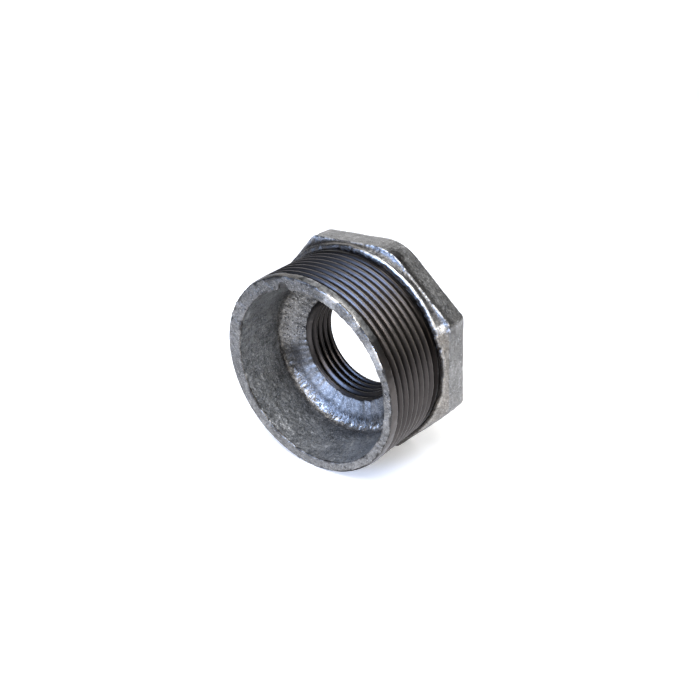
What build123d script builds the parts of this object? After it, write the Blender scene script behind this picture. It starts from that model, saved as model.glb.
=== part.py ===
from build123d import *
from build123d.topology import SkipClean
from math import atan, cos, degrees, pi, radians, sin, tan
import os

# Galvanised malleable-iron reducing bushing, 2 in male taper thread by 1 in female parallel thread,
# with an eight-sided head. Everything is millimetres.
#
# Frame: the female mouth's centre is the origin, +Y points out of the female mouth along the flow
# axis, +Z is up and one flat of the head faces straight down. The shapes are drawn on an upright
# lathe axis, with height measured from the head's outer face towards the male end, and are turned
# onto the Y axis at the end.

# ---- overall sizes ----
LENGTH = 31.2                # head's outer face to the male end
ACROSS_FLATS = 63.5
HEAD_SIDES = 8
FLAT_HEIGHT = 7.3            # the flats run from the outer face to here
ZINC = 0.1                   # thickness of the hot-dip coat

# ---- Whitworth pipe threads, both 11 to the inch ----
PITCH = 25.4 / 11
THREAD_DEPTH = 0.640327 * PITCH
FLANK_ANGLE = 27.5
FLAT = PITCH / 6             # width of the crest and of the root
OVERCUT = 0.6                # how far a cutter stands out of the metal

# ---- male thread, taper 1 in 16 on the diameter ----
GAUGE_DIAMETER = 59.614
GAUGE_LENGTH = 15.9          # male end to the gauge plane
SLOPE = 1 / 32               # fall of the radius per unit of height
TAPER_ANGLE = -degrees(atan(SLOPE))
MALE_END_RADIUS = GAUGE_DIAMETER / 2 - GAUGE_LENGTH * SLOPE
FULL_THREAD_START = 13.2     # height where the groove reaches full depth
MALE_START_ANGLE = 194       # angle about the axis where it does
MALE_LEAD = (0.7, 1.9)       # end chamfer: radial and axial size

# ---- female thread, parallel ----
MAJOR_RADIUS = 33.249 / 2
MINOR_RADIUS = MAJOR_RADIUS - THREAD_DEPTH
FEMALE_START_ANGLE = 238
MOUTH_CHAMFER = 0.5

# ---- casting behind the male thread ----
COLLAR_RADIUS = 31.2
COLLAR_TOP = 9.3             # the zinc-covered collar ends here
CUT_START = 10.0             # the thread cut's face meets the shank here
SLEEVE_BORE = 27.0           # the threaded sleeve is built on a core of this radius
CROWN_BORE = 20.0            # and the head round one of this radius
SHOULDER_TOP = 9.6
SHOULDER_RISE = 2.93         # how much the head's apothem shrinks over the shoulder
CORNER_RADIUS = 3.0
BLUNT_CORNER_RADIUS = 13.0   # one corner filled badly in the mould
BLUNT_CORNER_ANGLE = 67.5
EDGE_RADIUS = 0.8            # round along the head's outer face

# ---- cored cavity ----
CORE_SHIFT = (0.58, -0.22)   # the core sits off the thread axis
MOUTH_RADIUS = 25.57
FLOOR_RADIUS = 24.65
FLOOR_HEIGHT = 14.0          # where the wall would meet the sloping floor
WEB_HEIGHT = 10.8            # height of the floor at the tapped hole
CAVITY_FILLET = 1.5


def male_radius(height):
    """Crest radius of the male thread at a height."""
    return MALE_END_RADIUS + (LENGTH - height) * SLOPE


def revolved(points):
    """A solid of revolution from (radius, height) points."""
    outline = Polyline(*[(r, 0, h) for r, h in points], close=True)
    return revolve(make_face(outline), Axis.Z)


def cut(solid, cutter):
    """Cut a groove, and stop if the metal that should have gone is still there."""
    result = solid - cutter
    if result.volume > solid.volume - 1:
        raise ValueError("the groove removed nothing")
    return result


# ---- threads ----

def helix(height, radius, turns, angle):
    """A right-hand helix on a cylinder or, with an angle, on a cone."""
    rise = turns * PITCH
    return Edge.make_helix(PITCH / cos(radians(angle)), rise, radius, center=(0, 0, height), angle=angle)


def helical_cutter(corners, turns):
    """A cutter whose section's corners are (height, radius, cone angle), closed at both ends."""
    edges = [helix(height, radius, turns, angle) for height, radius, angle in corners]
    sides = [Face.make_surface_from_curves(a, b) for a, b in zip(edges, edges[1:] + edges[:1])]
    ends = []
    for end in (0, 1):
        ends.append(Face(Wire.make_polygon([edge @ end for edge in edges], close=True)))
    return Solid(Shell(sides + ends))


def groove_corners(height, crest_radius, inward, crest_angle, root_angle):
    """Section of a groove: inward is 1 to cut towards the axis and -1 to cut away from it."""
    root_radius = crest_radius - inward * THREAD_DEPTH
    open_radius = crest_radius + inward * OVERCUT
    half_root = FLAT / 2
    half_open = PITCH / 2 - FLAT / 2 + OVERCUT * tan(radians(FLANK_ANGLE))
    return [
        (height - half_root, root_radius, root_angle),
        (height + half_root, root_radius, root_angle),
        (height + half_open, open_radius, crest_angle),
        (height - half_open, open_radius, crest_angle),
    ]


def male_grooves():
    """The full-depth groove, and one turn of run-out that rises to nothing towards the head."""
    turns = (LENGTH + PITCH - FULL_THREAD_START) / PITCH
    full = groove_corners(FULL_THREAD_START, male_radius(FULL_THREAD_START), 1, TAPER_ANGLE, TAPER_ANGLE)
    start = FULL_THREAD_START - PITCH
    fade_angle = -degrees(atan(SLOPE + THREAD_DEPTH / PITCH))
    fade = groove_corners(start, male_radius(start), 1, TAPER_ANGLE, fade_angle)
    for corner in (0, 1):
        fade[corner] = (fade[corner][0], male_radius(start), fade_angle)
    turn = Rot(0, 0, MALE_START_ANGLE)
    return [turn * helical_cutter(full, turns), turn * helical_cutter(fade, 1)]


def female_groove():
    """The tapped hole's groove, running out past both ends of the hole."""
    turns = (WEB_HEIGHT + 4 * PITCH) / PITCH
    corners = groove_corners(-PITCH, MINOR_RADIUS, -1, 0, 0)
    return Rot(0, 0, FEMALE_START_ANGLE) * helical_cutter(corners, turns)


# ---- head and shank, before the zinc or with it ----

def octagon(apothem, corner_radius, blunt_radius):
    """The head's outline, with one corner rounder than the rest."""
    outline = RegularPolygon(apothem, HEAD_SIDES, major_radius=False, rotation=180 / HEAD_SIDES)
    corner_distance = apothem / cos(pi / HEAD_SIDES)
    blunt = radians(BLUNT_CORNER_ANGLE)
    place = Vector(corner_distance * cos(blunt), corner_distance * sin(blunt))
    corners = outline.vertices().sort_by_distance(place)
    outline = fillet(corners[1:], corner_radius)
    return fillet(outline.vertices().sort_by_distance(place)[:1], blunt_radius)


def head(coat):
    """The octagonal head with its sloping shoulder and round collar. coat grows every face."""
    apothem = ACROSS_FLATS / 2 - ZINC + coat
    face_height = ZINC - coat
    outline = octagon(apothem, CORNER_RADIUS, BLUNT_CORNER_RADIUS)
    prism = extrude(Pos(0, 0, face_height) * outline, FLAT_HEIGHT - face_height)
    outer_edges = prism.faces().sort_by(Axis.Z)[0].edges()
    prism = fillet(outer_edges, EDGE_RADIUS)
    small = octagon(apothem - SHOULDER_RISE, CORNER_RADIUS / 3, BLUNT_CORNER_RADIUS / 2)
    shoulder = loft([Pos(0, 0, FLAT_HEIGHT) * outline, Pos(0, 0, SHOULDER_TOP) * small])
    collar_radius = COLLAR_RADIUS - ZINC + coat
    collar = Pos(0, 0, 1) * extrude(Circle(collar_radius), COLLAR_TOP - 1)
    return prism + shoulder + collar


def core():
    """The body between the tapped ring and the threaded sleeve, with the lip where the thread cut ends."""
    lip = COLLAR_RADIUS - ZINC
    solid = revolved([
        (CROWN_BORE, 1),
        (lip, 1),
        (lip, COLLAR_TOP),
        (lip - 0.5, COLLAR_TOP + 0.5),
        (male_radius(CUT_START), CUT_START),
        (SLEEVE_BORE, CUT_START),
        (SLEEVE_BORE, LENGTH - ZINC),
        (CROWN_BORE, LENGTH - ZINC),
    ])
    return solid - cavity(0)


def tapped_ring():
    """The metal round the female thread, from the outer face up to the cavity's floor."""
    top = FLOOR_HEIGHT - 1
    ring = revolved([(MINOR_RADIUS, ZINC), (CROWN_BORE, ZINC), (CROWN_BORE, top), (MINOR_RADIUS, top)])
    return cut(ring, female_groove()) - chamfered_bore() - cavity(0)


def threaded_sleeve():
    """The shank's outer layer, from the lip to the male end, with the thread and the lead chamfer."""
    end = LENGTH - ZINC
    sleeve = revolved([
        (SLEEVE_BORE, CUT_START),
        (male_radius(CUT_START), CUT_START),
        (male_radius(end), end),
        (SLEEVE_BORE, end),
    ])
    for cutter in male_grooves():
        sleeve = cut(sleeve, cutter)
    radial, axial = MALE_LEAD
    past = 1
    return sleeve - revolved([
        (male_radius(end) - radial - past * radial / axial, end + past),
        (COLLAR_RADIUS, end + past),
        (COLLAR_RADIUS, end - axial),
        (male_radius(end - axial), end - axial),
    ])


def cavity(coat):
    """The space that the core leaves, open past the male end. coat shrinks it."""
    outline = Polyline(
        (0, 0, LENGTH + 1),
        (MOUTH_RADIUS + ZINC - coat, 0, LENGTH + 1),
        (FLOOR_RADIUS + ZINC - coat, 0, FLOOR_HEIGHT - ZINC + coat),
        (MAJOR_RADIUS, 0, WEB_HEIGHT - ZINC + coat),
        (0, 0, WEB_HEIGHT - ZINC + coat),
        close=True,
    )
    space = revolve(make_face(outline), Axis.Z)
    ring = [e for e in space.edges() if abs(e.bounding_box().max.X - FLOOR_RADIUS - ZINC + coat) < 0.01
            and abs(e.bounding_box().max.Z - FLOOR_HEIGHT + ZINC - coat) < 0.01]
    space = fillet(ring, CAVITY_FILLET)
    return Pos(*CORE_SHIFT, 0) * space


def chamfered_bore():
    """The tapped hole's plain bore, with the chamfer at its mouth and at its inner end."""
    inner_chamfer = MAJOR_RADIUS - MINOR_RADIUS
    return revolved([
        (0, -1),
        (MINOR_RADIUS + MOUTH_CHAMFER + 1, -1),
        (MINOR_RADIUS, MOUTH_CHAMFER),
        (MINOR_RADIUS, WEB_HEIGHT - inner_chamfer),
        (MAJOR_RADIUS + 1, WEB_HEIGHT + 1),
        (0, WEB_HEIGHT + 1),
    ])


# ---- the nodes ----

def quarters(solid):
    """The solid in four quarters round the axis."""
    quadrant = extrude(Rectangle(COLLAR_RADIUS, COLLAR_RADIUS, align=Align.MIN), LENGTH)
    return [solid & (Rot(0, 0, angle) * quadrant) for angle in (0, 90, 180, 270)]


def make_casting():
    """The iron itself, with both threads cut. The tapped hole's crest stays in quarter-turn faces, so that
    each is a short piece of cylinder wall at one height, not a helix over the whole hole."""
    crown = head(0) - Pos(0, 0, -1) * extrude(Circle(CROWN_BORE), LENGTH)
    body = crown + core() + threaded_sleeve()
    with SkipClean():
        return body.fuse(*quarters(tapped_ring()))


def make_zinc_head():
    """The zinc left on the head: outer face, flats, shoulder and collar."""
    tapped = extrude(Circle(MAJOR_RADIUS + ZINC), LENGTH)
    die_cut = Pos(0, 0, COLLAR_TOP) * extrude(Circle(COLLAR_RADIUS + 1), LENGTH)
    return head(ZINC) - head(0) - Pos(0, 0, -1) * tapped - die_cut


def make_zinc_cavity():
    """The zinc left inside: the rim's end face, the cavity's wall and the sloping floor."""
    rim = Pos(0, 0, LENGTH - ZINC) * extrude(Circle(male_radius(LENGTH) - MALE_LEAD[0]), ZINC)
    tapped = extrude(Circle(MAJOR_RADIUS + ZINC), LENGTH)
    inside = cavity(0) & extrude(Circle(COLLAR_RADIUS), LENGTH)
    return inside + rim - cavity(ZINC) - tapped


NODES = {
    "casting": make_casting,
    "zinc_head": make_zinc_head,
    "zinc_cavity": make_zinc_cavity,
}

os.makedirs("parts", exist_ok=True)
for name, make in NODES.items():
    turned = Rot(90, 0, 0) * make()
    export_step(turned, f"parts/{name}.step")
    print(name, round(turned.volume, 1), turned.is_valid, len(turned.solids()))
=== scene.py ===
import itertools
import math
from types import SimpleNamespace

import bpy
import numpy as np
from mathutils import Matrix, Vector


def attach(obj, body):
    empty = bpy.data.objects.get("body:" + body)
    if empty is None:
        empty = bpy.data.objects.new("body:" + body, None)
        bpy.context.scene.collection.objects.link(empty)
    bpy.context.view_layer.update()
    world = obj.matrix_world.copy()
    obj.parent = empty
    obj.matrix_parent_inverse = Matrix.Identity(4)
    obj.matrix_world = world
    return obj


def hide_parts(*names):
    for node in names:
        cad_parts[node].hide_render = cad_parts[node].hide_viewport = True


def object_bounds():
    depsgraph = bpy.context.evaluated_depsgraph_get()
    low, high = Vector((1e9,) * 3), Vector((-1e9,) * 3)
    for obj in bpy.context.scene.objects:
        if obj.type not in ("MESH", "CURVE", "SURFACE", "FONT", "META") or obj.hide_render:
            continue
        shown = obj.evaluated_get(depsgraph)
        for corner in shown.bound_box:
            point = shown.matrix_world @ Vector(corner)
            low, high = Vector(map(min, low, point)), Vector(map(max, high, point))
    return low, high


# A galvanised reducing bushing. Four finely meshed pieces replace the CAD's three nodes: the iron's
# outside with its worn thread, its tapped hole, and the cast, lumpy zinc on the head and inside.
#
# Shapes are worked out in millimetres round an upright lathe axis: radius, angle, and height from the
# head's outer face towards the male end. to_row() turns them into the frame's metres. Angles run from
# +X towards +Z, counter-clockwise as seen from the male end.

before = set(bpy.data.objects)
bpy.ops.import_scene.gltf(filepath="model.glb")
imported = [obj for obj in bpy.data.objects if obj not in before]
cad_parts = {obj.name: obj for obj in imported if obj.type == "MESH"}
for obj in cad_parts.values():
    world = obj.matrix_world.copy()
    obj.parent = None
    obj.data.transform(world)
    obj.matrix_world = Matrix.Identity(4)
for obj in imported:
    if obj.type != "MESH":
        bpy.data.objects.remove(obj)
cad_low, cad_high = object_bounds()

MM = 0.001

# ---- sizes, from the frame where it has them ----
LENGTH = -cad_low.y / MM                     # outer face to male end
APOTHEM = cad_high.z / MM                    # half the width across flats
SIDES = 8
FLAT_HEIGHT = 7.3
SHARP_CORNER = 3.0
BLUNT_CORNER = 13.0
BLUNT_ANGLE = 67.5                           # degrees
FACE_ROUND = 0.8
COLLAR_RADIUS = 31.2
COLLAR_TOP = 9.0
LIP_END = 9.9
BARE_BAND = (-115, 20.5)                     # degrees: the zinc here is dull and has no collar
BARE_TOP = 9.1
SCUFFED_BAND = (-80, 30)                     # degrees: the thread is rubbed here

PITCH = 25.4 / 11
DEPTH = 0.640327 * PITCH
SLOPE = 1 / 32
MALE_END_RADIUS = 59.614 / 2 - 15.9 * SLOPE
MALE_ROOT = 13.2 - PITCH * 194 / 360         # height of a root line at angle zero
MALE_START = 10.1
LEAD_RADIAL = 0.5
LEAD_AXIAL = 2.1
MAJOR_RADIUS = 33.249 / 2
MINOR_RADIUS = MAJOR_RADIUS - DEPTH
FEMALE_ROOT = -PITCH * 238 / 360

CORE_SHIFT = (0.58, -0.22)
MOUTH_SHIFT = (0.9, -0.15)                   # the core leaned a little
MOUTH_RADIUS = 25.57
FLOOR_RADIUS = 24.65
FLOOR_HEIGHT = 14.0
WEB_HEIGHT = 10.8
FILLET = 2.3
CHIP_ANGLE = 98.5                            # degrees: a chip out of the rim's inner edge
CHIP_DEPTH = 1.6

BACKING = 0.5                                # how far the coat's hidden side lies under its face
COVER = 0.4                                  # how far the iron stays under the coat

# Radii of the circles that noise is read along, each near what it shapes.
HEAD_CIRCLE = 30.0
RIM_OUTER_CIRCLE = 29.0
RIM_FACE_CIRCLE = 28.0
RIM_INNER_CIRCLE = 25.0
SEAM_CIRCLE = 24.0
HOLE_CIRCLE = 16.6
BORE_CIRCLE = 15.0

# Layers of casting roughness: (size, height).
HEAD_LUMPS = ((9.0, 0.10), (3.0, 0.07), (1.1, 0.045), (0.5, 0.03))
CAVITY_LUMPS = ((8.0, 0.12), (2.6, 0.10), (1.0, 0.09), (0.5, 0.05))

COLUMNS = 720
ANGLES = np.arange(COLUMNS) * 2 * math.pi / COLUMNS
DEGREES = (np.degrees(ANGLES) + 180) % 360 - 180

# Places of a thread's edge lines within one pitch: 0 is the root and 0.5 the crest.
THREAD_ROWS = (0.0, 0.055, 0.11, 0.25, 0.38, 0.42, 0.46, 0.54, 0.58, 0.62, 0.75, 0.89, 0.945)

# What the masks mean to the materials:
#   crest  0 in a thread's root, 1 on its worn crest
#    zinc   clean, bright zinc, in places a painted highlight; on the iron, how likely a scrap of zinc is, and on the lead a painted highlight
#    soot   dirt and oil, and in many places painted shade
#   pits   small black holes
#   calm   a smoother, duller surface
#   warm   a yellower grey
MASKS = ("crest", "zinc", "soot", "pits", "calm", "warm")


# ---- small maths ----

def lattice_noise(points, size, seed):
    """Smooth noise from -1 to 1 with features of about this size, the same in every run."""
    side = 48
    grid = np.random.default_rng(seed).uniform(-1, 1, (side, side, side))
    scaled = points / size
    cell = np.floor(scaled).astype(int)
    part = scaled - cell
    part = part * part * (3 - 2 * part)
    total = np.zeros(len(points))
    for corner in itertools.product((0, 1), repeat=3):
        weight = np.prod(np.where(corner, part, 1 - part), axis=1)
        i, j, k = ((cell + corner) % side).T
        total += weight * grid[i, j, k]
    return total


def ring_noise(size, seed, radius=HEAD_CIRCLE):
    """Noise for each column, with features of about this length along a circle."""
    circle = np.c_[radius * np.cos(ANGLES), radius * np.sin(ANGLES), np.zeros(COLUMNS)]
    return lattice_noise(circle, size, seed)


def smooth(low, high, value):
    """0 below low, 1 above high, and a soft step between."""
    t = np.clip((value - low) / (high - low), 0, 1)
    return t * t * (3 - 2 * t)


def hump(centre, width, value):
    """1 at the centre, falling off on both sides."""
    return math.exp(-((value - centre) / width) ** 2)


def between(low, high, degrees, soft):
    """1 between these two angles, 0 outside them, with soft ends."""
    away = np.abs((degrees - (low + high) / 2 + 180) % 360 - 180)
    return 1 - smooth((high - low) / 2 - soft / 2, (high - low) / 2 + soft / 2, away)


def zone(low, high, soft):
    """For each column, whether it lies between these two angles."""
    return between(low, high, DEGREES, soft)


def blend(a, b, share):
    """A (radius, height) pair between two others."""
    return a[0] + (b[0] - a[0]) * share, a[1] + (b[1] - a[1]) * share


def steps_between(a, b, count):
    """(radius, height) pairs from just past a to b, in even steps."""
    return [blend(a, b, t) for t in np.linspace(0, 1, count + 1)[1:]]


def to_row(points):
    """Lathe millimetres to the frame's metres."""
    return np.c_[points[:, 0], -points[:, 2], points[:, 1]] * MM


# ---- outlines ----

def octagon(apothem):
    """Radius of the head's rounded octagon at each column."""
    radius = np.full(COLUMNS, np.inf)
    half = math.pi / SIDES
    for side in range(SIDES):
        away = np.abs((ANGLES - side * 2 * half + math.pi) % (2 * math.pi) - math.pi)
        near = away < math.pi / 2 - 0.1
        radius[near] = np.minimum(radius[near], apothem / np.cos(away[near]))
    for side in range(SIDES):
        corner = (side + 0.5) * 2 * half
        bend = BLUNT_CORNER if abs(math.degrees(corner) - BLUNT_ANGLE) < 1 else SHARP_CORNER
        centre = (apothem - bend) / math.cos(half)
        away = (ANGLES - corner + math.pi) % (2 * math.pi) - math.pi
        reach = math.atan2(bend * math.sin(half), centre + bend * math.cos(half))
        near = np.abs(away) < reach
        radius[near] = centre * np.cos(away[near]) + np.sqrt(bend ** 2 - (centre * np.sin(away[near])) ** 2)
    return radius


def off_axis(radius, shift=CORE_SHIFT):
    """Radius, seen from the thread's axis, of a circle round a shifted axis."""
    x, y = shift
    along = x * np.cos(ANGLES) + y * np.sin(ANGLES)
    across = x * np.sin(ANGLES) - y * np.cos(ANGLES)
    return along + np.sqrt(radius ** 2 - across ** 2)


def male_crest(height):
    """Radius of the taper thread's crest."""
    return MALE_END_RADIUS + (LENGTH - height) * SLOPE


def groove_share(height, angle, root):
    """0 on the crest and 1 in the root of a right-hand thread, with both a little rounded."""
    turn = ((height - root) / PITCH - angle / (2 * math.pi) + 0.5) % 1 - 0.5
    flank = 1.25 - 3 * np.abs(turn)
    return np.mean([np.clip(flank + d, 0, 1) for d in (-0.2, -0.1, 0, 0.1, 0.2)], axis=0)


# ---- meshes ----

class Skin:
    """Points in rings round the axis, the faces between them, and masks that the materials read."""

    def __init__(self):
        self.points, self.bumps, self.faces = [], [], []
        self.masks = {name: [] for name in MASKS}
        self.count = 0

    def add(self, radius, height, angle, bump=0.0, **masks):
        """Points at these places. bump scales their casting roughness."""
        radius, height, angle = np.broadcast_arrays(radius, height, angle)
        self.points.append(np.c_[radius * np.cos(angle), radius * np.sin(angle), height])
        self.bumps.append(bump * np.ones(len(radius)))
        for name in MASKS:
            self.masks[name].append(masks.get(name, 0.0) * np.ones(len(radius)))
        first = self.count
        self.count += len(radius)
        return np.arange(first, self.count)

    def ring(self, radius, height, bump=0.0, **masks):
        """One point in each column."""
        return self.add(radius * np.ones(COLUMNS), height * np.ones(COLUMNS), ANGLES, bump, **masks)

    def band(self, lower, upper):
        """Faces between two rings."""
        quads = np.c_[lower, np.roll(lower, -1), np.roll(upper, -1), upper]
        self.faces.extend(quads.tolist())

    def chain(self, rings):
        """Faces from each ring to the next."""
        for lower, upper in zip(rings, rings[1:]):
            self.band(lower, upper)

    def thread(self, lower, upper, low, high, root, surface):
        """Faces from ring lower, at height low, to ring upper, at height high, along the helix."""
        margin = 0.02
        turns = int((high - low) / PITCH) + 3
        base = low - PITCH * (1 + ((low - root) / PITCH) % 1)
        steps = (np.arange(turns)[:, None] + np.array(THREAD_ROWS)[None, :]).ravel()
        heights = base + PITCH * (steps[:, None] + ANGLES[None, :] / (2 * math.pi))
        inside = (heights > low + margin) & (heights < high - margin)
        ids = np.where(heights <= low + margin, lower[None, :], upper[None, :])
        angle = np.broadcast_to(ANGLES, heights.shape)[inside]
        radius, masks = surface(heights[inside], angle)
        ids[inside] = self.add(radius, heights[inside], angle, **masks)
        count = len(THREAD_ROWS)
        wrapped = np.vstack([ids[count:, 0][:, None], np.full((count, 1), upper[0])])
        ids = np.hstack([ids, wrapped])
        quads = np.stack([ids[:-1, :-1], ids[:-1, 1:], ids[1:, 1:], ids[1:, :-1]], -1).reshape(-1, 4)
        left_same = quads[:, 0] == quads[:, 3]
        right_same = quads[:, 1] == quads[:, 2]
        self.faces.extend(quads[~left_same & ~right_same].tolist())
        self.faces.extend(quads[left_same & ~right_same][:, [0, 1, 2]].tolist())
        self.faces.extend(quads[~left_same & right_same][:, [0, 1, 3]].tolist())

    def roughness(self, points, bumpiness, seed):
        """How far, in metres, casting roughness of these (size, height) pairs moves each point."""
        lumps = np.zeros(len(points))
        for size, height in bumpiness:
            lumps += height * lattice_noise(points + 200, size, seed + int(size * 10))
        return lumps * np.concatenate(self.bumps) * MM

    def build(self, name, bumpiness=(), seed=0):
        """The mesh object, with its faces outward and its casting roughness in the shape."""
        points = np.vstack(self.points)
        places = to_row(points)
        mesh = bpy.data.meshes.new(name)
        mesh.from_pydata(places.tolist(), [], self.faces)
        corners = np.array([face[:3] for face in self.faces])
        a, b, c = (places[corners[:, i]] for i in range(3))
        if (a * np.cross(b, c)).sum() < 0:
            mesh.flip_normals()
        mesh.update()
        normals = np.zeros(len(points) * 3)
        mesh.vertex_normals.foreach_get("vector", normals)
        shift = self.roughness(points, bumpiness, seed)
        mesh.vertices.foreach_set("co", (places + normals.reshape(-1, 3) * shift[:, None]).ravel())
        for mask, values in self.masks.items():
            layer = mesh.attributes.new(mask, "FLOAT", "POINT")
            layer.data.foreach_set("value", np.concatenate(values))
        mesh.polygons.foreach_set("use_smooth", np.ones(len(mesh.polygons), bool))
        mesh.update()
        piece = bpy.data.objects.new(name, mesh)
        bpy.context.scene.collection.objects.link(piece)
        return piece


# ---- the iron ----

def male_masks(points, degrees, depth, lead):
    """Where the male thread is worn, scuffed, soiled or still has scraps of zinc; painted shade darkens two
    sides of it and the run-out under the lip, and a painted highlight brightens the lead.
    """
    height = points[:, 2]
    scuffed = between(*SCUFFED_BAND, degrees, 12)
    # A painted highlight on the lead, as brighter zinc.
    bright = between(36, 84, degrees, 14)
    # Painted shade on the thread's upper far side, and less zinc on the lead there.
    behind = between(84, 170, degrees, 20)
    # Painted shade on the side whose flanks face dark surroundings.
    shaded_side = between(-26, 28, degrees, 24)
    lead_zinc = 0.62 - 0.27 * scuffed + 0.8 * bright - 0.14 * behind
    # Painted shade on the run-out under the lip.
    run_out_soot = smooth(12.3, 11.3, height) * (0.8 + 0.2 * lattice_noise(points, 2.0, 10))
    return {
        "crest": (1 - depth) * (0.82 + 0.18 * smooth(11.2, 12.6, height) * lead),
        "zinc": (1 - lead) * lead_zinc + 0.44 * smooth(11.9, 10.9, height),
        "soot": run_out_soot + (0.42 * shaded_side + 0.25 * behind) * lead + 0.25 * behind * (1 - lead),
    }


def male_surface(height, angle):
    """The worn male thread, its run-out towards the head, and the smooth lead at the end."""
    points = np.c_[HEAD_CIRCLE * np.cos(angle), HEAD_CIRCLE * np.sin(angle), height]
    degrees = np.degrees(angle)
    wobble = 0.3 * lattice_noise(points, 2.2, 5) + 0.22 * lattice_noise(points, 0.8, 6)
    run_out = smooth(10.4, 12.4, height)
    lead = smooth(29.5 + wobble, 28.9 + wobble, height)
    scuffed = between(*SCUFFED_BAND, degrees, 12)
    worn = 0.1 * lattice_noise(points, 1.3, 8) * scuffed * between(-110, 5, degrees, 30)
    share = groove_share(height + worn, angle, MALE_ROOT)
    nicks = smooth(0.5, 0.8, lattice_noise(points, 1.2, 7)) * smooth(0.25, 0.0, share)
    depth = share * run_out * lead
    end = np.clip((height - (LENGTH - LEAD_AXIAL)) / LEAD_AXIAL, 0, 1)
    crest = np.minimum(male_crest(height) - 0.04 * nicks, male_crest(height) - LEAD_RADIAL * end ** 1.6)
    rough = 0.06 * lattice_noise(points, 1.4, 9) * (1 - lead)
    return crest - DEPTH * depth + rough, male_masks(points, degrees, depth, lead)


def iron_shank():
    """The casting's outside: the male thread shows, and the rest lies just under the zinc."""
    skin = Skin()
    outline = octagon(APOTHEM - COVER)
    end = LENGTH - COVER
    top_height = LENGTH - 0.08
    # The foot ring is darkened under the lip: painted shade.
    foot = skin.ring(male_crest(MALE_START), MALE_START, crest=0.8, zinc=0.42, soot=0.9)
    top = skin.ring(male_crest(LENGTH) - LEAD_RADIAL, top_height, crest=0.8, zinc=0.7)
    skin.thread(foot, top, MALE_START, top_height, MALE_ROOT, male_surface)
    ragged = 0.12 * ring_noise(1.0, 12)
    bare = [
        (male_crest(9.6) + 0.12 + ragged, 9.7),
        (COLLAR_RADIUS - 0.65 + ragged, 9.3),
        (COLLAR_RADIUS - COVER + 0.5 * ragged, 8.9),
        (COLLAR_RADIUS - COVER + 0.5 * ragged, 8.4),
        (COLLAR_RADIUS - COVER, 7.9),
    ]
    hidden = [
        skin.ring(outline, FLAT_HEIGHT - COVER),
        skin.ring(outline, FACE_ROUND + COVER),
        skin.ring(outline - FACE_ROUND, COVER),
        skin.ring(MAJOR_RADIUS + 3, COVER),
        skin.ring(MAJOR_RADIUS + 3, WEB_HEIGHT - 1.5),
        skin.ring(off_axis(FLOOR_RADIUS), FLOOR_HEIGHT - COVER),
        skin.ring(off_axis(FLOOR_RADIUS + COVER), FLOOR_HEIGHT),
        skin.ring(off_axis(MOUTH_RADIUS + COVER, MOUTH_SHIFT), end),
        skin.ring(male_crest(LENGTH) - LEAD_RADIAL - 0.5, end),
    ]
    # Painted shade darkens this band under the lip.
    bare_rings = [skin.ring(radius, height, crest=0.7, zinc=0.3, soot=1.0) for radius, height in bare]
    skin.chain([foot] + bare_rings + hidden + [top])
    return skin.build("iron_shank")


def female_surface(height, angle):
    """The tapped thread, with a chamfer at each end."""
    points = np.c_[BORE_CIRCLE * np.cos(angle), BORE_CIRCLE * np.sin(angle), height]
    share = groove_share(height, angle, FEMALE_ROOT)
    thread = MINOR_RADIUS + DEPTH * share
    chamfer = np.maximum(MINOR_RADIUS + 0.7 - height, MAJOR_RADIUS + height - WEB_HEIGHT)
    on_chamfer = smooth(0.0, 0.3, chamfer - thread)
    rough = 0.02 * lattice_noise(points, 0.5, 13) + 0.05 * lattice_noise(points, 1.1, 14) * on_chamfer
    masks = {
        "crest": (1 - share) * (1 - 0.3 * on_chamfer),
        "soot": 0.7 - 0.4 * on_chamfer,
        "zinc": 0.1 * on_chamfer,
    }
    return np.maximum(thread, chamfer) + rough, masks


def iron_bore():
    """The casting's tapped hole."""
    skin = Skin()
    mouth_height = 0.05
    inner_height = WEB_HEIGHT + 0.02
    mouth = skin.ring(MINOR_RADIUS + 0.65, mouth_height, crest=0.7, soot=0.8)
    inner = skin.ring(MAJOR_RADIUS + 0.02, inner_height, crest=0.7, soot=0.9)
    skin.thread(mouth, inner, mouth_height, inner_height, FEMALE_ROOT, female_surface)
    hidden = [
        skin.ring(MAJOR_RADIUS + 0.4, WEB_HEIGHT - 0.15),
        skin.ring(MAJOR_RADIUS + 3, WEB_HEIGHT),
        skin.ring(MAJOR_RADIUS + 3, COVER),
        skin.ring(MAJOR_RADIUS + 0.9, COVER),
        skin.ring(MAJOR_RADIUS + 0.3, mouth_height, crest=0.7, soot=0.8),
    ]
    skin.chain([inner] + hidden + [mouth])
    return skin.build("iron_bore")


# ---- the zinc on the head ----

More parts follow.
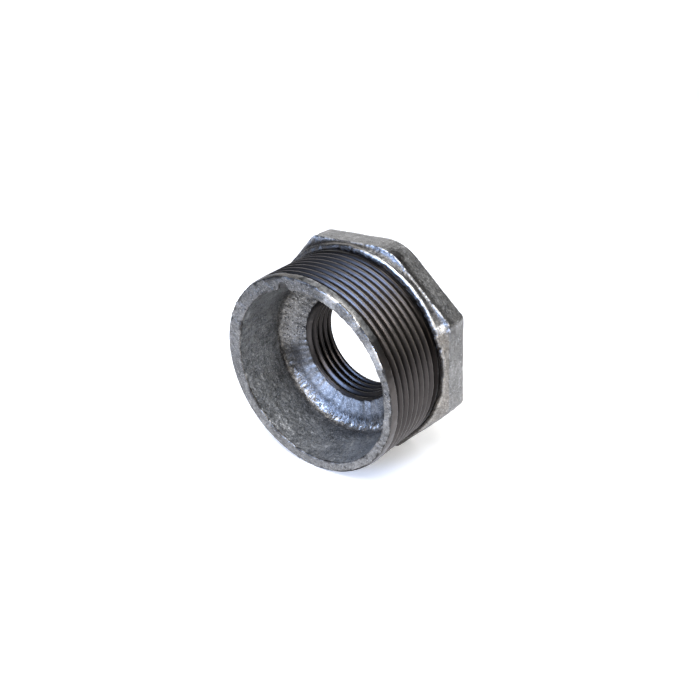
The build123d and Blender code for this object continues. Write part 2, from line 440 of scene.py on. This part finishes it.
def head_columns():
    """What differs round the head, for each column. A share runs from 0 to 1."""
    c = SimpleNamespace()
    c.flat = octagon(APOTHEM)
    c.corner = smooth(APOTHEM + 0.3, APOTHEM + 2.2, c.flat)
    c.hole = MAJOR_RADIUS + 0.25 + 0.12 * ring_noise(1.2, 21, HOLE_CIRCLE)
    c.hole = c.hole + 0.1 * ring_noise(3.0, 22, HOLE_CIRCLE)

    # shape and state of the zinc above the thread
    band_end = BARE_BAND[1]
    c.bare = zone(*BARE_BAND, 2.5)
    c.lip_stop = zone(band_end + 0.5, band_end + 3.5, 2.0)
    c.ragged = 0.25 * ring_noise(1.0, 23) + 0.3 * ring_noise(3.5, 24)
    c.beads = smooth(-0.15, 0.4, ring_noise(0.7, 25))
    c.streaky = 1.0 + 0.5 * ring_noise(1.8, 29)
    c.ridge = (c.flat - 0.12 - 0.3 * c.bare, FLAT_HEIGHT + 0.2 + 0.15 * c.beads)
    c.collar = COLLAR_RADIUS + 0.12 + 0.3 * c.lip_stop + 0.1 * ring_noise(2.0, 26)
    c.stop = BARE_TOP + 1.3 * c.ragged

    # painted light and shade round the head, and dirt: lit is a painted highlight, as brighter zinc, on the
    # ridge and lip; far makes that side darker; under is the dirty underside; shaded, wedge and top_flat
    # are painted shade on the flats
    c.lit = zone(22, 78, 8)
    c.far = zone(84, 200, 16)
    c.under = between(BARE_BAND[0], -46, DEGREES + 4 * ring_noise(1.5, 27), 6)
    c.shaded = zone(20, 67, 6) * (0.8 - 0.25 * zone(22, 40, 15))
    c.wedge = zone(61, 66.5, 3)
    c.top_flat = zone(67, 113, 3)
    return c


def head_face(skin, c):
    """The hole's ragged edge, the flat outer face and its rounded edge."""
    places = [(c.hole - 0.02, 0.35), (c.hole, 0.12), (c.hole + 0.15, 0.0)]
    places += steps_between(places[-1], (c.flat - FACE_ROUND, 0.0), 38)
    rings = [skin.ring(radius, height, 1.0) for radius, height in places]
    for turn in np.radians([22, 45, 67, 90]):
        radius = c.flat - FACE_ROUND * (1 - math.sin(turn))
        rings.append(skin.ring(radius, FACE_ROUND * (1 - math.cos(turn)), 1.0))
    return rings


def head_flats(skin, c):
    """The eight flats, a little hollow near the ridge, with painted shade beside the ridge and on the top
    flat, and darker where the coat is bare.
    """
    rings = []
    for t in np.linspace(0, 1, 23)[1:]:
        dip = 0.16 * hump(0.8, 0.12, t)
        # Painted shade beside the ridge, in the wedge and on the top flat, plus the dull bare coat.
        stain = 0.95 * c.shaded * smooth(0.5, 0.8, t) + 0.6 * c.wedge * smooth(0.1, 0.5, t)
        stain = stain + 0.62 * c.top_flat + 0.46 * c.bare
        radius = c.flat - dip - 0.1 * c.bare * smooth(0.8, 1.0, t)
        rings.append(skin.ring(radius, FACE_ROUND + t * (FLAT_HEIGHT - FACE_ROUND), 1.0, soot=stain))
    return rings


def head_ridge(skin, c):
    """The beaded ridge where the flats end, with a painted highlight, as brighter zinc, on its beads."""
    gaps = (1 - c.beads) * (1 - c.bare)
    foot = skin.ring(c.flat - 0.02 - 0.2 * c.bare, FLAT_HEIGHT + 0.08, 0.6,
                     zinc=0.8 * c.beads * c.lit, soot=0.5 * gaps + 0.5 * c.bare)
    top = skin.ring(*c.ridge, 0.4 + 0.5 * c.bare,
                    zinc=0.9 * c.beads * (1 - c.bare), soot=gaps + (0.5 + 0.6 * c.under) * c.bare)
    return [foot, top]


def head_shoulder(skin, c):
    """The hollow between the ridge and the collar, or the plain slope where the coat is bare."""
    rings = []
    for i, t in enumerate(np.linspace(0, 1, 12)[1:]):
        hollow = (0.2 + 0.3 * c.corner) * math.sin(math.pi * t ** 0.8)
        radius, height = blend(c.ridge, (c.collar, COLLAR_TOP), t)
        slope = blend(c.ridge, (COLLAR_RADIUS + 0.15, c.stop), t)
        radius, height = blend((radius - hollow, height - 0.5 * hollow), slope, c.bare)
        # A painted highlight, as brighter zinc, where the lip ends.
        step = c.lip_stop * smooth(1, 4, i)
        # Painted shade in the hollow, more on the far side.
        dirt_and_shade = (0.75 + 0.25 * c.far) * math.sin(math.pi * (i + 0.6) / 11.6) ** 0.4
        soot = (dirt_and_shade * (1 - c.bare) + (0.45 + 0.8 * c.under) * c.bare) * (1 - step)
        rings.append(skin.ring(radius + 0.15 * step, height + 0.3 * step, 0.8 - 0.5 * step,
                               zinc=step, soot=soot, warm=1 - c.lit))
    return rings


def head_lip(skin, c):
    """The rolled lip over the thread, bright with a painted highlight along its crown, or the coat's ragged
    end where it is bare.
    """
    foot = male_crest(LIP_END) + 0.12
    rings = []
    for i, t in enumerate(np.linspace(0, 1, 13)[1:]):
        turn = t * math.pi / 2
        rolled = (foot + (c.collar - foot) * math.cos(turn),
                  COLLAR_TOP + (LIP_END + 0.8 * c.ragged * t - COLLAR_TOP) * math.sin(turn) ** 0.7)
        worn = (COLLAR_RADIUS + 0.15 - 1.15 * (1 - math.cos(turn)),
                c.stop + (0.75 + 0.5 * c.ragged * t) * math.sin(turn))
        radius, height = blend(rolled, worn, c.bare)
        # Where the lip carries its painted highlight.
        crown = hump(3.0, 2.6, i)
        # Darker towards the thread, under the lip, as painted shade, and on the far side.
        dirt_and_shade = 0.6 + 0.3 * c.far + 0.5 * smooth(4, 8, i)
        bare_dirt = 0.3 + 0.8 * c.under + smooth(5, 10, i)
        rings.append(skin.ring(radius, height, 0.3 + 0.07 * i,
                               zinc=c.streaky * (1 - c.bare) * c.lit * crown,
                               soot=dirt_and_shade * (1 - crown * c.lit) * (1 - c.bare) + bare_dirt * c.bare,
                               warm=1 - c.lit))
    hidden_edge = skin.ring(radius - 0.4, height - 0.35)
    return rings + [hidden_edge]


def zinc_head():
    """The coat on the head, from the ragged edge at the hole to the bright lip above the thread."""
    skin = Skin()
    c = head_columns()
    rings = head_face(skin, c) + head_flats(skin, c) + head_ridge(skin, c)
    rings += head_shoulder(skin, c) + head_lip(skin, c)
    hidden = [
        skin.ring(COLLAR_RADIUS - 2 * BACKING, FLAT_HEIGHT + 0.4),
        skin.ring(c.flat - BACKING, FLAT_HEIGHT - BACKING),
        skin.ring(c.flat - BACKING, FACE_ROUND + BACKING),
        skin.ring(c.flat - FACE_ROUND - BACKING, BACKING),
        skin.ring(c.hole + BACKING, BACKING),
    ]
    skin.chain(rings + hidden + rings[:1])
    return skin.build("zinc_head_coat", HEAD_LUMPS, seed=30)


# ---- the zinc inside ----

def cavity_columns():
    """What differs round the cavity, for each column. A share runs from 0 to 1."""
    c = SimpleNamespace()
    c.chip = CHIP_DEPTH * zone(CHIP_ANGLE - 3.0, CHIP_ANGLE + 3.0, 4.0)
    c.outer = male_crest(LENGTH) - LEAD_RADIAL + 0.16 * ring_noise(1.3, 43) + 0.15 * ring_noise(6, 44)
    c.inner = off_axis(MOUTH_RADIUS, MOUTH_SHIFT) + c.chip
    c.inner = c.inner + 0.08 * ring_noise(1.0, 45, RIM_INNER_CIRCLE)
    c.inner = c.inner + 0.12 * ring_noise(5, 46, RIM_INNER_CIRCLE)
    c.floor = off_axis(FLOOR_RADIUS)
    c.hole = MAJOR_RADIUS + 0.2 + 0.28 * ring_noise(0.9, 41, HOLE_CIRCLE)
    c.hole = c.hole + 0.2 * ring_noise(3.0, 42, HOLE_CIRCLE)

    c.left = zone(95, 188, 12)
    # dim: where the seam's painted highlight is left out; turn: painted shade on the floor.
    c.dim = zone(95, 215, 24)
    c.turn = zone(184, 212, 16)
    c.plain = 1 - 0.7 * zone(80, 200, 20)
    return c


def seam_lumps(c, step):
    """Drips and beads of zinc, a little different on each ring."""
    radius = SEAM_CIRCLE - 0.3 * step
    return c.plain * (0.65 * ring_noise(0.6, 47, radius) + 0.35 * ring_noise(1.5, 48, radius))


def cavity_rim(skin, c):
    """The male end's face, with spots along both edges and a painted highlight, as brighter, cleaner zinc,
    at the upper right.
    """
    places = [(c.outer + 0.02, LENGTH - 0.35), (c.outer, LENGTH - 0.18), (c.outer - 0.15, LENGTH - 0.04)]
    places.append((c.outer - 0.35, LENGTH))
    places += steps_between(places[-1], (c.inner + 0.3, LENGTH), 9)
    places += [(c.inner + 0.1, LENGTH - 0.06), (c.inner, LENGTH - 0.3)]

    # A painted highlight on the rim's upper right.
    painted_sheen = zone(20, 75, 15) * smooth(-0.2, 0.3, ring_noise(1.6, 51, RIM_FACE_CIRCLE))
    edge_line = zone(-75, 35, 20)
    top = zone(70, 140, 30)
    outer_spots = smooth(0.25, 0.6, ring_noise(1.8, 52, RIM_OUTER_CIRCLE))
    inner_spots = smooth(0.2, 0.6, ring_noise(2.5, 53, RIM_INNER_CIRCLE))
    rings = []
    for i, (radius, height) in enumerate(places):
        # Darker over the whole rim, partly as painted shade, with spots along both edges and darker inside
        # the chip.
        dirt_and_shade = 0.6 + 0.12 * top + (0.7 * edge_line if i < 2 else 0) + (0.5 * c.chip if i > 10 else 0)
        dirt_and_shade = dirt_and_shade + 0.6 * outer_spots * smooth(5, 2, i) + 0.5 * inner_spots * smooth(10, 13, i)
        rings.append(skin.ring(radius, height, 0.9, zinc=0.8 * painted_sheen * smooth(5, 2, i),
                               soot=dirt_and_shade * (1 - 0.6 * painted_sheen), pits=0.6, warm=1.0))
    return rings


def cavity_wall(skin, c):
    """The cored wall, darker towards the floor."""
    places = steps_between((c.inner, LENGTH - 0.3), (c.floor + 0.05, FLOOR_HEIGHT + FILLET), 50)
    rings = []
    for i, (radius, height) in enumerate(places):
        rings.append(skin.ring(radius, height, 1.0, soot=0.2 + 0.3 * smooth(30, 48, i), pits=0.3, calm=0.3))
    return rings


def cavity_floor(skin, c):
    """The fillet with its lumpy seam, and the floor that slopes to the tapped hole."""
    places = []
    for turn in np.radians(np.linspace(10, 80, 9)):
        places.append((c.floor - FILLET * (1 - math.cos(turn)),
                       FLOOR_HEIGHT + FILLET * (1 - math.sin(turn)) - 0.3 * math.sin(turn)))
    slope_start = (c.floor - FILLET - 0.1, FLOOR_HEIGHT - 0.5)
    places += steps_between(slope_start, (c.hole, WEB_HEIGHT + 0.12), 28)

    rings = []
    for i, (radius, height) in enumerate(places):
        seam = hump(5.5, 2.0, i)
        raised = (0.12 + 0.3 * seam_lumps(c, i)) * seam
        # A painted highlight, as brighter zinc, on the seam's lumps.
        beads = 0.75 * smooth(-0.1, 0.5, seam_lumps(c, i)) * (1 - c.dim) * seam
        # This and the turn zone add painted shade to the floor.
        shade = (1 - c.left) * hump(13, 6, i)
        pale = c.left * hump(15, 5, i)
        bump = 0.3 + 0.65 * c.left + 0.5 * (1 - smooth(6, 10, i))
        rings.append(skin.ring(radius - 0.6 * raised, height + raised, bump, zinc=beads,
                               soot=0.55 + 0.3 * shade + 0.25 * c.turn - 0.2 * pale,
                               pits=0.15 + 0.85 * c.left, calm=(1 - c.left) * smooth(11, 15, i), warm=1.0))
    for radius, height in ((c.hole - 0.06, WEB_HEIGHT - 0.05), (c.hole - 0.03, WEB_HEIGHT - 0.3)):
        rings.append(skin.ring(radius, height, 0.5, soot=0.8))
    return rings


def zinc_cavity():
    """The coat inside: the rim, the cored wall, the lumpy seam and the sloping floor."""
    skin = Skin()
    c = cavity_columns()
    rings = cavity_rim(skin, c) + cavity_wall(skin, c) + cavity_floor(skin, c)
    hidden = [
        skin.ring(c.hole + BACKING, WEB_HEIGHT - BACKING),
        skin.ring(c.floor, FLOOR_HEIGHT - BACKING),
        skin.ring(c.floor + BACKING, FLOOR_HEIGHT),
        skin.ring(c.inner + BACKING, LENGTH - 2 * BACKING),
        skin.ring(c.outer - BACKING, LENGTH - BACKING),
    ]
    skin.chain(rings + hidden + rings[:1])
    return skin.build("zinc_cavity_coat", CAVITY_LUMPS, seed=50)


# ---- materials ----

SOOT_AND_SHADE = (0.172, 0.165, 0.16)                  # what dirt and painted shade leave of the zinc's colour
OIL_AND_SHADE = (0.14, 0.13, 0.125)                    # what dirt and painted shade leave of the iron's colour
WARM = (1.0, 0.95, 0.885)


class Nodes:
    """Short calls to build a material's nodes."""

    def __init__(self, name):
        self.material = bpy.data.materials.new(name)
        self.material.use_nodes = True
        self.tree = self.material.node_tree
        self.shader = self.tree.nodes["Principled BSDF"]
        self.place = self.new("ShaderNodeTexCoord").outputs["Object"]

    def new(self, kind, **settings):
        node = self.tree.nodes.new(kind)
        for key, value in settings.items():
            setattr(node, key, value)
        return node

    def link(self, source, target):
        """Connects an output to an input, or sets the input to a plain value."""
        if hasattr(source, "links"):
            self.tree.links.new(source, target)
        else:
            target.default_value = source

    def stretched(self, scale):
        """The place, scaled along the frame's three axes."""
        node = self.new("ShaderNodeMapping")
        self.link(self.place, node.inputs["Vector"])
        node.inputs["Scale"].default_value = scale
        return node.outputs["Vector"]

    def noise(self, size_mm, detail=3.0, roughness=0.6, place=None):
        node = self.new("ShaderNodeTexNoise")
        self.link(place or self.place, node.inputs["Vector"])
        node.inputs["Scale"].default_value = 1 / (size_mm * MM)
        node.inputs["Detail"].default_value = detail
        node.inputs["Roughness"].default_value = roughness
        return node.outputs["Fac"]

    def cells(self, size_mm):
        """Distance to the nearest of many scattered points."""
        node = self.new("ShaderNodeTexVoronoi", feature="SMOOTH_F1")
        self.link(self.place, node.inputs["Vector"])
        node.inputs["Scale"].default_value = 1 / (size_mm * MM)
        return node.outputs["Distance"]

    def ramp(self, value, *stops):
        """A colour or grey from (place, colour) stops."""
        node = self.new("ShaderNodeValToRGB")
        self.link(value, node.inputs["Fac"])
        elements = node.color_ramp.elements
        while len(elements) < len(stops):
            elements.new(0.5)
        for element, (place, colour) in zip(elements, stops):
            element.position = place
            if isinstance(colour, (int, float)):
                colour = (colour, colour, colour)
            element.color = (*colour, 1)
        return node.outputs["Color"]

    def mix(self, share, a, b, mode="MIX"):
        node = self.new("ShaderNodeMix", data_type="RGBA", blend_type=mode)
        self.link(share, node.inputs[0])
        for value, socket in ((a, node.inputs[6]), (b, node.inputs[7])):
            self.link((*value, 1) if isinstance(value, tuple) else value, socket)
        return node.outputs[2]

    def maths(self, operation, a, b=0.0):
        node = self.new("ShaderNodeMath", operation=operation)
        self.link(a, node.inputs[0])
        self.link(b, node.inputs[1])
        return node.outputs[0]

    def times(self, a, b):
        return self.maths("MULTIPLY", a, b)

    def mask(self, name):
        return self.new("ShaderNodeAttribute", attribute_name=name).outputs["Fac"]

    def bump(self, height, strength, distance_mm, after=None):
        node = self.new("ShaderNodeBump")
        self.link(height, node.inputs["Height"])
        self.link(strength, node.inputs["Strength"])
        node.inputs["Distance"].default_value = distance_mm * MM
        if after:
            self.link(after, node.inputs["Normal"])
        return node.outputs["Normal"]

    def finish(self, colour, roughness, normal, metallic):
        self.link(colour, self.shader.inputs["Base Color"])
        self.link(roughness, self.shader.inputs["Roughness"])
        self.link(normal, self.shader.inputs["Normal"])
        self.shader.inputs["Metallic"].default_value = metallic
        return self.material


def grey(value):
    return (value, value, value)


def zinc_colour(n, grain, dark, light, clean_and_highlight):
    """Mottled greys with stains, dark pits and painted glints, then grime and painted shade, then cleaner
    zinc and painted highlights.
    """
    cloud = n.noise(6.0, detail=4.0)
    colour = n.ramp(n.mix(0.5, cloud, grain), (0.36, dark), (0.62, light))
    streak = n.noise(2.4, detail=5.0, roughness=0.7, place=n.stretched((1.0, 3.0, 1.0)))
    stain = n.ramp(streak, (0.38, 0.7), (0.5, 0.0))
    colour = n.mix(n.times(stain, 0.6), colour, tuple(0.45 * c for c in dark))
    pits = n.ramp(n.noise(0.8, detail=3.0, roughness=0.75), (0.34, 1.0), (0.40, 0.0))
    colour = n.mix(n.times(pits, 0.55), colour, tuple(0.2 * c for c in dark))
    holes = n.ramp(n.cells(0.8), (0.17, 1.0), (0.24, 0.0))
    colour = n.mix(n.times(holes, n.mask("pits")), colour, grey(0.02))
    # Painted glints: small bright flecks.
    painted_glint = n.ramp(n.noise(0.35, detail=2.0), (0.58, 0.0), (0.66, 1.0))
    colour = n.mix(n.times(painted_glint, 0.7), colour, (0.75, 0.76, 0.78))
    blotch = n.times(n.noise(1.3, detail=4.0, roughness=0.7), 0.8)
    # Dirt and painted shade from the mask, with blotches.
    grime_and_shade = n.maths("ADD", n.mask("soot"), n.maths("SUBTRACT", blotch, 0.4))
    colour = n.mix(n.ramp(grime_and_shade, (0.16, 0.0), (0.92, 1.0)), colour, SOOT_AND_SHADE, mode="MULTIPLY")
    colour = n.mix(n.mask("warm"), colour, WARM, mode="MULTIPLY")
    # The zinc mask mixes in the clean colour: clean zinc, and in places a painted highlight.
    return n.mix(n.times(n.mask("zinc"), 0.75), colour, clean_and_highlight)


def zinc_material(name, dark, light, clean_and_highlight, smoothest, roughest, relief):
    """Dull hot-dip zinc over a rough casting."""
    n = Nodes(name)
    grain = n.noise(0.9, detail=4.0, roughness=0.7)
    colour = zinc_colour(n, grain, dark, light, clean_and_highlight)
    calm = n.mask("calm")
    roughness = n.ramp(grain, (0.35, smoothest), (0.65, roughest))
    roughness = n.mix(n.times(calm, 0.8), roughness, grey(0.55))
    roughness = n.mix(n.times(n.mask("zinc"), 0.8), roughness, grey(0.3))
    rough = n.maths("SUBTRACT", 1.0, n.times(calm, 0.7))
    lumps = n.bump(n.noise(1.6, detail=3.0), n.times(rough, 0.6 * relief), 0.3)
    peel = n.bump(n.cells(0.7), n.times(rough, 0.5 * relief), 0.25, after=lumps)
    grit = n.noise(0.4, detail=3.0, roughness=0.7)
    fine = n.bump(grit, n.times(rough, 0.5 * relief), 0.14, after=peel)
    return n.finish(colour, roughness, fine, 0.85)


def cut_colour(n, crest, soot):
    """Dark roots, brown-grey flanks and worn crests, under oil and painted shade."""
    flank = n.mix(n.noise(5.0, detail=3.0), (0.064, 0.058, 0.055), (0.114, 0.102, 0.096))
    colour = n.mix(n.ramp(crest, (0.15, 0.0), (0.6, 1.0)), (0.042, 0.04, 0.039), flank)
    worn = n.mix(n.noise(3.0, detail=2.0), (0.09, 0.082, 0.077), (0.175, 0.16, 0.15))
    colour = n.mix(n.ramp(crest, (0.93, 0.0), (1.0, 1.0)), colour, worn)
    return n.mix(soot, colour, OIL_AND_SHADE, mode="MULTIPLY")


def scrap_colour(n, soot):
    """Dull zinc left on the iron, brighter where the zinc mask is high: nearly whole zinc, and the lead's
    painted highlight.
    """
    dull = n.mix(n.noise(0.5, detail=3.0), grey(0.05), grey(0.14))
    dull = n.mix(n.times(soot, 0.7), dull, OIL_AND_SHADE, mode="MULTIPLY")
    whole = n.ramp(n.times(n.mask("zinc"), 0.5), (0.45, 0.0), (0.65, 1.0))
    return n.mix(whole, dull, n.ramp(n.noise(1.0), (0.34, 0.25), (0.64, 0.7)))


def iron_material():
    """Cut iron, and scraps of zinc where the cut is shallow."""
    n = Nodes("cut_iron")
    crest = n.mask("crest")
    soot = n.mask("soot")
    cover = n.maths("ADD", n.noise(0.9, detail=4.0, roughness=0.7), n.mask("zinc"))
    scraps = n.ramp(n.times(cover, 0.5), (0.48, 0.0), (0.54, 1.0))
    colour = n.mix(scraps, cut_colour(n, crest, soot), scrap_colour(n, soot))
    roughness = n.mix(n.ramp(crest, (0.86, 0.0), (0.97, 1.0)), grey(0.31), grey(0.42))
    scratched = n.bump(n.noise(0.5, detail=4.0, roughness=0.7), 0.06, 0.04)
    raised = n.bump(scraps, 0.3, 0.06, after=scratched)
    return n.finish(colour, roughness, raised, 0.95)


def paper_material():
    """White paper with painted shade: it falls off to grey in front of the bushing, where the studio is
    dark.
    """
    n = Nodes("paper")
    along = n.new("ShaderNodeVectorMath", operation="DOT_PRODUCT")
    n.link(n.place, along.inputs[0])
    along.inputs[1].default_value = (0.614, -0.789, 0.0)
    share = n.new("ShaderNodeMapRange")
    n.link(along.outputs["Value"], share.inputs["Value"])
    share.inputs["From Min"].default_value = 0.106
    share.inputs["From Max"].default_value = 0.15
    colour = n.mix(share.outputs["Result"], grey(0.93), (0.09, 0.09, 0.1))
    n.link(colour, n.shader.inputs["Base Color"])
    n.link(colour, n.shader.inputs["Emission Color"])
    # The paper glows a little, which lightens the shadows on it: painted light.
    n.shader.inputs["Emission Strength"].default_value = 0.4
    n.shader.inputs["Roughness"].default_value = 0.9
    n.shader.inputs["Specular IOR Level"].default_value = 0.1
    return n.material


# ---- the studio ----

def table():
    """The way up from the table and a point on it: the bushing tips forward until its rim touches."""
    head_foot = Vector((0, -FLAT_HEIGHT, -APOTHEM))
    rim_height = LENGTH - LEAD_AXIAL
    rim_foot = Vector((0, -rim_height, -male_crest(rim_height)))
    along = (rim_foot - head_foot).normalized()
    up = Vector((1, 0, 0)).cross(along).normalized() * -1
    return up, head_foot * MM


def add_light(name, towards, distance, size, power, colour, target):
    """A soft rectangular light that shines at target from direction towards."""
    data = bpy.data.lights.new(name, "AREA")
    data.shape = "RECTANGLE"
    data.size, data.size_y = size
    data.energy = power
    data.color = colour
    lamp = bpy.data.objects.new(name, data)
    bpy.context.scene.collection.objects.link(lamp)
    direction = Vector(towards).normalized()
    lamp.location = target + direction * distance
    lamp.rotation_euler = direction.to_track_quat("Z", "Y").to_euler()


def add_lights():
    """An overhead light, a cool window with a paler strip beside it, a warm lamp, and the backdrop's."""
    middle = Vector((0, -LENGTH / 2 * MM, 0))
    behind = Vector((-0.9, 1.1, 0))
    add_light("overhead", (0.25, -0.35, 0.9), 1.2, (0.8, 0.8), 18, (1.0, 0.98, 0.95), middle)
    add_light("window", (-0.16, -0.92, 0.33), 1.4, (0.55, 0.45), 29, (0.36, 0.55, 1.0), middle)
    add_light("strip", (0.17, -0.96, 0.22), 1.4, (0.35, 0.35), 5.5, (1.0, 0.96, 0.92), middle)
    add_light("lamp", (0.9, -0.37, 0.18), 1.0, (0.35, 0.3), 3, (1.0, 0.93, 0.82), middle)
    add_light("backdrop", (-0.4, 0.5, 1.0), 1.6, (2.0, 1.2), 25, (1.0, 1.0, 1.0), behind)


def add_sweep(up, foot):
    """A pale floor that sweeps up into a backdrop."""
    away = Vector((-0.64, 0.77, 0))
    away = (away - up * away.dot(up)).normalized()
    side = away.cross(up)
    reach, bend, wall, half_width = 1.2, 0.35, 0.05, 3.0
    profile = [(-2.0, 0.0), (reach, 0.0)]
    for a in np.radians(np.arange(7.5, 90.1, 7.5)):
        profile.append((reach + bend * math.sin(a), bend * (1 - math.cos(a))))
    profile.append((reach + bend, bend + wall))
    points = []
    for along, rise in profile:
        for across in (-half_width, half_width):
            points.append(foot + away * along + up * rise + side * across)
    faces = [(2 * i, 2 * i + 1, 2 * i + 3, 2 * i + 2) for i in range(len(profile) - 1)]
    mesh = bpy.data.meshes.new("sweep")
    mesh.from_pydata(points, [], faces)
    mesh.polygons.foreach_set("use_smooth", np.ones(len(mesh.polygons), bool))
    mesh.materials.append(paper_material())
    sweep = bpy.data.objects.new("sweep", mesh)
    bpy.context.scene.collection.objects.link(sweep)


def add_camera(up):
    """A short lens close to the bushing, looking into the male end from its upper right."""
    data = bpy.data.cameras.new("camera")
    data.lens = 33.6
    data.sensor_width = 36
    data.clip_start = 0.01
    camera = bpy.data.objects.new("camera", data)
    bpy.context.scene.collection.objects.link(camera)
    place = Vector((0.1091, -0.1421, 0.0854))
    forward = Vector((-0.57094, 0.68776, -0.44843)).normalized()
    right = forward.cross(up).normalized()
    turned = Matrix((right, right.cross(forward), -forward)).transposed()
    camera.matrix_world = Matrix.Translation(place) @ turned.to_4x4()
    bpy.context.scene.camera = camera


def add_world():
    """A faint, even light from everywhere."""
    world = bpy.data.worlds.new("studio")
    world.use_nodes = True
    background = world.node_tree.nodes["Background"]
    background.inputs["Color"].default_value = (0.94, 0.97, 1.0, 1)
    background.inputs["Strength"].default_value = 0.12
    bpy.context.scene.world = world


def make_studio():
    up, foot = table()
    add_sweep(up, foot)
    add_camera(up)
    add_world()
    add_lights()
    bpy.context.scene.view_settings.view_transform = "Standard"
    bpy.context.scene.view_settings.look = "None"


# ---- assembly ----

def make_bushing():
    iron = iron_material()
    head_zinc = zinc_material("head_zinc", dark=(0.19, 0.188, 0.185), light=(0.45, 0.445, 0.435),
                              clean_and_highlight=(0.70, 0.69, 0.67), smoothest=0.34, roughest=0.55, relief=1.0)
    # The cavity's zinc is a darker, bluer copy of the head's: partly painted shade inside the cavity.
    cavity_zinc_shaded = zinc_material("cavity_zinc_shaded", dark=(0.14, 0.147, 0.153), light=(0.40, 0.408, 0.415),
                                clean_and_highlight=(0.70, 0.63, 0.54), smoothest=0.3, roughest=0.5, relief=0.8)
    pieces = (
        (iron_shank(), "casting", "iron", iron),
        (iron_bore(), "casting", "iron", iron),
        (zinc_head(), "zinc_head", "zinc", head_zinc),
        (zinc_cavity(), "zinc_cavity", "zinc", cavity_zinc_shaded),
    )
    for piece, node, slot, material in pieces:
        piece.data.materials.append(material)
        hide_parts(node)
        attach(piece, "root")


make_bushing()
make_studio()
